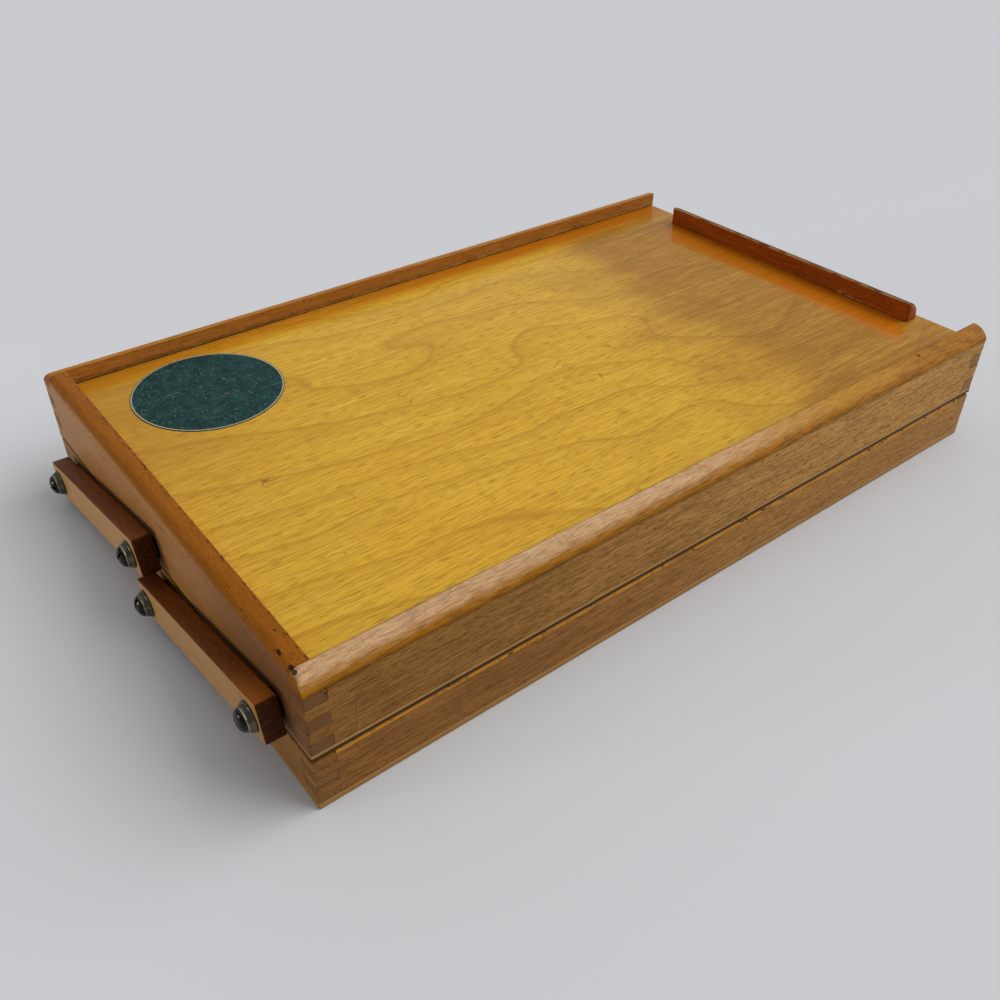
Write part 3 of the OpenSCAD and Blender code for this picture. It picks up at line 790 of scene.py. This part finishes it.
def dressed(node, rim, chip=0.0, lip=0.0, kind=lambda point: "rim", seam=0.0):
    """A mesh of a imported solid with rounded, dented rims, finer lips and open seams.

    The kind of an edge, from its middle, is "rim", "lip" or "crisp". The mesh carries "wear" on its
    rims and "seam" on its joint lines, for the materials."""
    bm = bmesh.new()
    bm.from_mesh(frame["nodes"][node].data)
    bmesh.ops.remove_doubles(bm, verts=bm.verts, dist=JOIN_REACH)
    bmesh.ops.dissolve_limit(bm, angle_limit=FLAT, verts=bm.verts, edges=bm.edges)
    # A groove's floor in the plane of a finger joint leaves a film, whose tip is let down a hair
    films = [e for e in bm.edges if len(e.link_faces) == 2 and e.calc_face_angle() > FOLDED]
    for tip in {max(edge.verts, key=lambda vert: vert.co.x) for edge in films}:
        tip.co.z -= FILM_DROP
    wear = bm.verts.layers.float.new("wear")
    joint = bm.faces.layers.float.new("seam")
    shapes = [solid(other) for other in frame["nodes"] if other != node]

    free, _ = sharp_edges(bm, shapes)
    pieces = []
    for edge in [e for e in free if kind(middle_of(e)) == "rim"]:
        cuts = int(edge.calc_length() / DENT_STEP)
        if cuts:
            made = bmesh.ops.bisect_edges(bm, edges=[edge], cuts=cuts)
            pieces += [item for item in made["geom_split"] if isinstance(item, bmesh.types.BMEdge)]
        else:
            pieces.append(edge)
    strip = set(round_edges(bm, list(set(pieces)), rim, 4))
    for vert in {v for face in strip for v in face.verts}:
        if all(face in strip for face in vert.link_faces):
            vert[wear] = 1.0
            dent = noise.noise(vert.co / DENT_COARSE) + 0.5 * noise.noise(vert.co / DENT_FINE)
            vert.co -= vert.normal * chip * max(0.0, dent)
    for face in strip:
        face.smooth = True

    if lip:
        free, _ = sharp_edges(bm, shapes)
        lips = [e for e in free if kind(middle_of(e)) == "lip"]
        for face in round_edges(bm, lips, lip, 2):
            face.smooth = True
    if seam:
        _, glued = sharp_edges(bm, shapes)
        glued = [e for e in glued if kind(middle_of(e)) != "crisp"]
        for face in round_edges(bm, glued, seam, 1):
            face[joint] = 1.0
    return shaded(bm, node)


def shaded(bm, name):
    """Turns a bmesh into a mesh that is smooth over its shallow edges and crisp at its sharp ones."""
    for edge in bm.edges:
        if len(edge.link_faces) == 2:
            angle = edge.calc_face_angle()
            edge.smooth = angle < SHARP
            if CURVED[0] < angle < CURVED[1]:
                for face in edge.link_faces:
                    face.smooth = True
    mesh = bpy.data.meshes.new(name)
    bm.to_mesh(mesh)
    bm.free()
    return mesh


# Steps round the end and over the back of the pull
END_STEPS = 5
BACK_STEPS = 14


def quarter_round(wood):
    """The pull: a quarter round with rounded ends, its long upper edge worn and chipped."""
    radius = wood.pull_round
    centre_x, centre_z = PULL_HIGH.x - radius, PULL_HIGH.z - radius
    ends = [(wood.pull_end * (1 - math.cos(a)), wood.pull_end * (1 - math.sin(a)))
            for a in (math.pi / 2 * i / END_STEPS for i in range(END_STEPS + 1))]
    length = PULL_HIGH.y - PULL_LOW.y - 2 * wood.pull_end
    count = int(length / DENT_STEP)
    stations = [(PULL_LOW.y + along, inset) for along, inset in ends]
    stations += [(PULL_LOW.y + wood.pull_end + length * i / count, 0.0) for i in range(1, count)]
    stations += [(PULL_HIGH.y - along, inset) for along, inset in reversed(ends)]

    bm = bmesh.new()
    rings = []
    for y, inset in stations:
        left = PULL_LOW.x + inset
        back = radius - inset
        start = math.acos(min(1.0, max(0.0, (left - centre_x) / back)))
        dent = noise.noise(Vector((0.0, y / DENT_COARSE, 0.5)))
        dent += 0.5 * noise.noise(Vector((0.0, y / DENT_FINE, 3.5)))
        worn = wood.pull_rim + wood.chip * max(0.0, dent)
        profile = [(left, PULL_LOW.z), (left, centre_z + back * math.sin(start) - worn)]
        first = start - worn / back
        profile += [
            (centre_x + back * math.cos(first * (1 - i / BACK_STEPS)),
             centre_z + back * math.sin(first * (1 - i / BACK_STEPS)))
            for i in range(BACK_STEPS + 1)
        ]
        profile += [(PULL_HIGH.x - inset, PULL_LOW.z)]
        rings.append([bm.verts.new((x, y, z)) for x, z in profile])
    for near, far in zip(rings, rings[1:]):
        for i in range(len(near)):
            j = (i + 1) % len(near)
            bm.faces.new((near[i], near[j], far[j], far[i]))
    bm.faces.new(rings[0])
    bm.faces.new(rings[-1])
    bmesh.ops.recalc_face_normals(bm, faces=bm.faces)
    return shaded(bm, "lid_pull")


def body_of(node):
    """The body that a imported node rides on."""
    bodies = frame["record"]["behaviour"]["bodies"]
    return next(name for name, nodes in bodies.items() if node in nodes)


def finish_piece(name, mesh, material, nodes):
    """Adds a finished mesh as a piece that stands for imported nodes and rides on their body."""
    mesh.name = name
    mesh.materials.clear()
    mesh.materials.append(material)
    piece = bpy.data.objects.new(name, mesh)
    bpy.context.scene.collection.objects.link(piece)
    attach(piece, body_of(nodes[0]))
    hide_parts(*nodes)


# Columns of a turned fitting, steps over a screw's dome, and the height of a cup that is rubbed bright
TURN_STEPS = 48
DOME_STEPS = 12
CUP_LIP = 0.45 * MM


def turned_tree(name, radii, heights, slot, rows, material):
    """A tree that turns a profile on a lathe and puts a copy on each point.

    Each row is a point of the profile: its share of each radius, then its share of each height.
    A slot has a width and a depth, and is cut across the outer end."""
    tree = bpy.data.node_groups.new(name, "GeometryNodeTree")
    tree.interface.new_socket("Points", in_out="INPUT", socket_type="NodeSocketGeometry")
    for size in (*radii, *heights, *slot):
        item = tree.interface.new_socket(size, in_out="INPUT", socket_type="NodeSocketFloat")
        item.subtype = "DISTANCE"
    tree.interface.new_socket("Fittings", in_out="OUTPUT", socket_type="NodeSocketGeometry")
    given = tree.nodes.new("NodeGroupInput").outputs

    grid = add(tree, "GeometryNodeMeshGrid", 1.0, 1.0, len(rows), TURN_STEPS + 1)
    index = add(tree, "GeometryNodeInputIndex")
    row = add(tree, "FunctionNodeIntegerMath", index, TURN_STEPS + 1, operation="DIVIDE_FLOOR")
    column = add(tree, "FunctionNodeIntegerMath", index, TURN_STEPS + 1, operation="MODULO")
    measures = []
    for sizes, first in ((radii, 0), (heights, len(radii))):
        shares = add(tree, "GeometryNodeIndexSwitch", row, data_type="VECTOR")
        while len(shares.node.index_switch_items) < len(rows):
            shares.node.index_switch_items.new()
        for socket, values in zip(shares.node.inputs[1:], rows):
            socket.default_value = (*values[first : first + len(sizes)], 0, 0)[:3]
        whole = add(tree, JOIN, *(given[size] for size in sizes))
        measures.append(add(tree, VECTOR, shares, whole, operation="DOT_PRODUCT"))
    radius, height = measures
    angle = add(tree, MATH, column, 2 * math.pi / TURN_STEPS, **TIMES)
    aside = add(tree, MATH, add(tree, MATH, angle, operation="COSINE"), radius, **TIMES)
    up = add(tree, MATH, add(tree, MATH, angle, operation="SINE"), radius, **TIMES)
    shape = add(tree, "GeometryNodeSetPosition", grid, None, add(tree, JOIN, aside, up, height))
    shape = add(tree, "GeometryNodeMergeByDistance", shape, None, JOIN_REACH)
    shape = add(tree, "GeometryNodeSetShadeSmooth", shape, None, True)
    if slot:
        width, depth = (given[size] for size in slot)
        outer = add(tree, MATH, given[radii[0]], 3.0, **TIMES)
        top = add(tree, MATH, given[heights[0]], given[heights[1]], operation="ADD")
        size = add(tree, JOIN, outer, width, add(tree, MATH, depth, 2.0, **TIMES))
        blade = add(tree, "GeometryNodeMeshCube", size)
        blade = add(tree, "GeometryNodeTransform", blade, add(tree, JOIN, 0.0, 0.0, top))
        shape = add(tree, "GeometryNodeMeshBoolean", shape, blade, operation="DIFFERENCE", solver="EXACT")
    bend = add(tree, "GeometryNodeInputMeshEdgeAngle")
    crisp = add(tree, "FunctionNodeCompare", bend, SHARP, data_type="FLOAT", operation="GREATER_THAN")
    shape = add(tree, "GeometryNodeSetShadeSmooth", shape, crisp, False, domain="EDGE")
    turn = add(tree, "GeometryNodeInputNamedAttribute", "turn", data_type="FLOAT_VECTOR")
    turn = add(tree, "FunctionNodeEulerToRotation", turn)
    copies = add(tree, "GeometryNodeInstanceOnPoints", given["Points"], None, shape, None, None, turn)
    copies = add(tree, "GeometryNodeRealizeInstances", copies)
    copies = add(tree, "GeometryNodeSetMaterial", copies, None, material)
    tree.links.new(copies, tree.nodes.new("NodeGroupOutput").inputs[0])
    return tree


def turned_pieces(kind, rows, material, radii, heights, slot=None, slot_turn=0.0):
    """Turns a fitting and puts it on every pivot, as one piece for each tray.

    Radii, heights and the slot's width and depth are sizes by name."""
    slot = slot or {}
    tree = turned_tree(f"turned_{kind}s", list(radii), list(heights), list(slot), rows, material)
    sizes = {**radii, **heights, **slot}
    for level in LEVELS:
        pivots = [pivot for pivot in PIVOTS if pivot.endswith(level)]
        points = bpy.data.meshes.new(f"{kind}_points")
        points.from_pydata([pivot_place(pivot) for pivot in pivots], [], [])
        turns = points.attributes.new("turn", "FLOAT_VECTOR", "POINT")
        for index, pivot in enumerate(pivots):
            outward = -math.pi / 2 if pivot.startswith("left") else math.pi / 2
            turn = Matrix.Rotation(outward, 3, "Y") @ Matrix.Rotation(PIVOTS.index(pivot) * slot_turn, 3, "Z")
            turns.data[index].vector = turn.to_euler()
        holder = bpy.data.objects.new(f"{kind}_holder", points)
        bpy.context.scene.collection.objects.link(holder)
        modifier = holder.modifiers.new(kind, "NODES")
        modifier.node_group = tree
        for item in tree.interface.items_tree:
            if item.in_out == "INPUT" and item.name in sizes:
                modifier[item.identifier] = sizes[item.name]
        ready = holder.evaluated_get(bpy.context.evaluated_depsgraph_get())
        mesh = bpy.data.meshes.new_from_object(ready)
        holder.modifiers.remove(modifier)
        bpy.data.objects.remove(holder)
        nodes = [f"{kind}_{pivot}" for pivot in pivots]
        finish_piece(f"{kind}s_{level}_tray", mesh, material, nodes)


# How near a plane an edge lies on it, and how far above the lid a groove's mouth is rounded
ON_PLANE = 0.1 * MM
ABOVE_LID = 0.5 * MM


def wall_edges(node, wood):
    """A function that tells the kind of a wall's edge from its middle."""
    top = LOWER_TOP if node.startswith("lower") else RAIL_TOP
    rail = node in ("upper_front_wall", "upper_back_wall")

    def kind(point):
        # The mouth of the lid's groove, at the right ends of the rails, stays crisp
        if rail and point.x > -LEFT_X - ON_PLANE and abs(point.y) < -FRONT_Y - ON_PLANE:
            return "lip" if point.z > LID_TOP + ABOVE_LID else "crisp"
        within = abs(point.x) < -LEFT_X - WALL / 2 and abs(point.y) < -FRONT_Y - WALL / 2
        return "lip" if within and (rail or point.z < top - wood.rim) else "rim"

    return kind


class PENCILBOX_OT_walls(bpy.types.Operator):
    """Dress the long walls and the end walls of both trays"""

    bl_idname = "pencilbox.walls"
    bl_label = "Tray Walls"

    def execute(self, context):
        wood = context.scene.pencilbox_wood
        walls = (beech_wall(wood), "beech_walls")
        ends = (beech_end(wood), "beech_ends")
        looks = {"front_wall": walls, "left_end": ends, "back_wall": walls, "right_end": ends}
        for level in LEVELS:
            for part, (material, slot) in looks.items():
                node = f"{level}_{part}"
                mesh = dressed(node, wood.rim, wood.chip, wood.lip, wall_edges(node, wood), wood.seam)
                finish_piece(f"{node}_beech", mesh, material, [node])
        return {"FINISHED"}


class PENCILBOX_OT_bottoms(bpy.types.Operator):
    """Dress the plywood bottoms of both trays"""

    bl_idname = "pencilbox.bottoms"
    bl_label = "Plywood Bottoms"

    def execute(self, context):
        wood = context.scene.pencilbox_wood
        material = plywood(wood)
        for level in LEVELS:
            node = f"{level}_bottom"
            mesh = dressed(node, wood.panel_rim, seam=wood.seam)
            low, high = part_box(node)
            layer = mesh.attributes.new("layer", "FLOAT", "POINT")
            for vert in mesh.vertices:
                layer.data[vert.index].value = (vert.co.z - low.z) / (high.z - low.z)
            finish_piece(f"{node}_plywood", mesh, material, [node])
        return {"FINISHED"}


class PENCILBOX_OT_lid(bpy.types.Operator):
    """Dress the sliding lid panel"""

    bl_idname = "pencilbox.lid"
    bl_label = "Lid Panel"

    def execute(self, context):
        lid = context.scene.pencilbox_lid
        mesh = dressed("lid_panel", lid.rim)
        finish_piece("lid_panel_veneer", mesh, lid_veneer(lid), ["lid_panel"])
        return {"FINISHED"}


class PENCILBOX_OT_pull(bpy.types.Operator):
    """Dress the pull across the lid"""

    bl_idname = "pencilbox.pull"
    bl_label = "Lid Pull"

    def execute(self, context):
        wood = context.scene.pencilbox_wood
        finish_piece("lid_pull_beech", quarter_round(wood), beech_pull(wood), ["lid_pull"])
        return {"FINISHED"}


class PENCILBOX_OT_label(bpy.types.Operator):
    """Make the round label on the lid, bare but for its border"""

    bl_idname = "pencilbox.label"
    bl_label = "Lid Label"

    def execute(self, context):
        lid = context.scene.pencilbox_lid
        mesh = dressed("lid_label", (LABEL_HIGH.z - LABEL_LOW.z) / 3)
        finish_piece("lid_label_paper", mesh, label_print(lid), ["lid_label"])
        return {"FINISHED"}


class PENCILBOX_OT_links(bpy.types.Operator):
    """Dress the four links"""

    bl_idname = "pencilbox.links"
    bl_label = "Links"

    def execute(self, context):
        wood = context.scene.pencilbox_wood
        along = (pivot_place("left_rear_upper") - pivot_place("left_rear_lower")).normalized()
        material = beech_link(wood, along)
        for side in SIDES:
            for place in PLACES:
                node = f"link_{side}_{place}"
                mesh = dressed(node, wood.link_rim, wood.chip / 4)
                finish_piece(f"{node}_beech", mesh, material, [node])
        return {"FINISHED"}


class PENCILBOX_OT_fittings(bpy.types.Operator):
    """Turn the screws, cup washers and flat washers"""

    bl_idname = "pencilbox.fittings"
    bl_label = "Screws and Washers"

    def execute(self, context):
        fittings = context.scene.pencilbox_fittings
        cup_low, cup_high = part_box(f"cup_{PIVOTS[-1]}")
        wall = pivot_place(PIVOTS[-1]).x
        bore = fittings.shank_d / 2 + fittings.bore_play
        seat = fittings.head_d / 2 + fittings.bore_play

        # Profile of a screw, from its tip: shares of head, shank; of rim height, dome height, depth
        rows = [(0, 0, 0, 0, -1), (0, 0.3, 0, 0, -0.97), (0, 1, 0, 0, -0.55), (0, 1, 0.5, 0, 0)]
        cone = (fittings.head_d - fittings.shank_d) / 2 / (cup_high.x - wall)
        rows += [(0, 1, 1 - cone, 0, 0)]
        steps = [math.radians(90 * i / DOME_STEPS) for i in range(DOME_STEPS + 1)]
        rows += [(math.cos(a), 0, 1, math.sin(a), 0) for a in steps]
        turned_pieces(
            "screw", rows, steel("steel_darkened_screw", fittings.dark_steel, 0.17),
            {"Head Radius": fittings.head_d / 2, "Shank Radius": fittings.shank_d / 2},
            {"Rim Height": cup_high.x - wall, "Dome Height": fittings.dome_h, "Depth": fittings.depth},
            {"Slot Width": fittings.slot_w, "Slot Depth": fittings.slot_d}, fittings.slot_turn,
        )

        # Profile of a cup washer, round from its bore: shares of bore, seat, outside; of face, height, rim
        rows = [
            (1, 0, 0, 1, 0, 0), (0.02, 0, 0.98, 1, 0, 0), (0, 0, 1, 1, 0, 0.2), (0, 0, 1, 1, 0, 0.75),
            (0.03, 0, 0.97, 1, 0, 1), (0.06, 0, 0.94, 1, 0.02, 1), (0, 0.34, 0.66, 1, 0.22, 0.94),
            (0, 0.66, 0.34, 1, 0.62, 0.36), (0, 0.72, 0.28, 1, 0.78, 0.2), (0, 0.70, 0.30, 1, 0.88, 0.1),
            (0, 0.76, 0.24, 1, 0.97, 0), (0, 0.86, 0.14, 1, 1, 0), (0, 0.95, 0.05, 1, 0.985, 0),
            (0, 1, 0, 1, 0.93, 0), (1, 0, 0, 1, 1 - (seat - bore) / fittings.cup_h, 0), (1, 0, 0, 1, 0, 0),
        ][::-1]
        turned_pieces(
            "cup", rows,
            steel("nickel_cup", fittings.cup_steel, 0.2, fittings.bright_steel, cup_high.x - CUP_LIP),
            {"Bore Radius": bore, "Seat Radius": seat, "Outer Radius": fittings.cup_d / 2},
            {"Face Height": cup_low.x - wall, "Cup Height": fittings.cup_h, "Rim Height": fittings.cup_rim},
        )

        # Profile of a flat washer, with broken edges: shares of bore, outside; of thickness
        low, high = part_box(f"spacer_{PIVOTS[-1]}")
        rows = [
            (1, 0, 0), (0.05, 0.95, 0), (0, 1, 0.15), (0, 1, 0.85), (0.05, 0.95, 1), (1, 0, 1), (1, 0, 0),
        ][::-1]
        turned_pieces(
            "spacer", rows, steel("steel_black_washer", fittings.black_steel, 0.5),
            {"Bore Radius": bore, "Outer Radius": (high.y - low.y) / 2}, {"Thickness": high.x - low.x},
        )
        return {"FINISHED"}


# Half of the floor's width in metres, the way to the brightest part of the ceiling, and the camera's sensor
FLOOR_HALF = 20.0
CEILING_WAY = (0.35, 0.3, 0.89)
SENSOR_WIDTH = 36.0


class PENCILBOX_OT_stage(bpy.types.Operator):
    """Make the floor, the light and the camera"""

    bl_idname = "pencilbox.stage"
    bl_label = "Stage"

    def execute(self, context):
        stage = context.scene.pencilbox_stage
        scene = context.scene
        scene.view_settings.view_transform = "Standard"

        mesh = bpy.data.meshes.new("floor")
        corners = [(x * FLOOR_HALF, y * FLOOR_HALF, 0) for x, y in ((-1, -1), (1, -1), (1, 1), (-1, 1))]
        mesh.from_pydata(corners, [], [(0, 1, 2, 3)])
        floor = bpy.data.objects.new("floor", mesh)
        scene.collection.objects.link(floor)
        material, _, shader = new_material("pale_cloth_floor")
        shader.inputs["Base Color"].default_value = (*stage.floor, 1.0)
        shader.inputs["Roughness"].default_value = 0.9
        shader.inputs["Specular IOR Level"].default_value = 0.1
        mesh.materials.append(material)

        # Light from all round: the walls of a room, and a ceiling that is brighter to the right
        world = bpy.data.worlds.new("pale_room")
        scene.world = world
        world.use_nodes = True
        tree = world.node_tree
        way = add(tree, "ShaderNodeTexCoord", out="Generated")
        height = add(tree, VECTOR, way, CEILING_WAY, operation="DOT_PRODUCT")
        ceiling = add(tree, RANGE, height, 0.30, 0.80, **EASED)
        light = paint(tree, stage.walls, stage.sky, ceiling)
        tree.links.new(light, tree.nodes["Background"].inputs["Color"])

        # A broad soft lamp far off on the right, and a small low one that glints on the screws
        for name, kind, place, energy, settings in (
            ("soft_lamp", "SUN", (0.85, -0.45, 0.85), stage.lamp, {"angle": math.radians(60)}),
            ("glint_lamp", "AREA", (-1.2, 0.4, 0.2), stage.glint, {"size": 0.25, "spread": math.radians(25)}),
        ):
            data = bpy.data.lights.new(name, kind)
            data.energy = energy
            for setting, value in settings.items():
                setattr(data, setting, value)
            lamp = bpy.data.objects.new(name, data)
            lamp.location = place
            lamp.rotation_euler = (-lamp.location).to_track_quat("-Z", "Y").to_euler()
            scene.collection.objects.link(lamp)

        data = bpy.data.cameras.new("camera")
        data.lens = stage.lens
        data.sensor_width = SENSOR_WIDTH
        data.clip_start = 0.01
        data.clip_end = 50.0
        camera = bpy.data.objects.new("camera", data)
        scene.collection.objects.link(camera)
        turn = Matrix.Rotation(-stage.pan, 4, "Z") @ Matrix.Rotation(math.pi / 2 - stage.tilt, 4, "X")
        turn = turn @ Matrix.Rotation(stage.roll, 4, "Z")
        camera.matrix_world = Matrix.Translation(stage.camera_place) @ turn
        scene.camera = camera
        return {"FINISHED"}


class PENCILBOX_PT_sidebar(bpy.types.Panel):
    """Lists the pieces of the box and their sizes and colours"""

    bl_label = "Pencil Box"
    bl_space_type = "VIEW_3D"
    bl_region_type = "UI"
    bl_category = "Pencil Box"

    def draw(self, context):
        for operator in OPERATORS:
            self.layout.operator(operator.bl_idname)
        for group in GROUPS:
            settings = getattr(context.scene, group)
            box = self.layout.box()
            for prop in settings.bl_rna.properties:
                if prop.identifier not in ("rna_type", "name"):
                    box.prop(settings, prop.identifier)


GROUPS = {
    "pencilbox_wood": PencilBoxWood,
    "pencilbox_lid": PencilBoxLid,
    "pencilbox_fittings": PencilBoxFittings,
    "pencilbox_stage": PencilBoxStage,
}
OPERATORS = (
    PENCILBOX_OT_walls,
    PENCILBOX_OT_bottoms,
    PENCILBOX_OT_lid,
    PENCILBOX_OT_pull,
    PENCILBOX_OT_label,
    PENCILBOX_OT_links,
    PENCILBOX_OT_fittings,
    PENCILBOX_OT_stage,
)


def register():
    for group, kind in GROUPS.items():
        bpy.utils.register_class(kind)
        setattr(bpy.types.Scene, group, bpy.props.PointerProperty(type=kind))
    for kind in (*OPERATORS, PENCILBOX_PT_sidebar):
        bpy.utils.register_class(kind)


def unregister():
    for kind in reversed((*OPERATORS, PENCILBOX_PT_sidebar)):
        bpy.utils.unregister_class(kind)
    for group, kind in reversed(GROUPS.items()):
        delattr(bpy.types.Scene, group)
        bpy.utils.unregister_class(kind)


def main():
    register()
    bpy.ops.pencilbox.walls()
    bpy.ops.pencilbox.bottoms()
    bpy.ops.pencilbox.lid()
    bpy.ops.pencilbox.pull()
    bpy.ops.pencilbox.label()
    bpy.ops.pencilbox.links()
    bpy.ops.pencilbox.fittings()
    bpy.ops.pencilbox.stage()


if __name__ == "__main__":
    main()
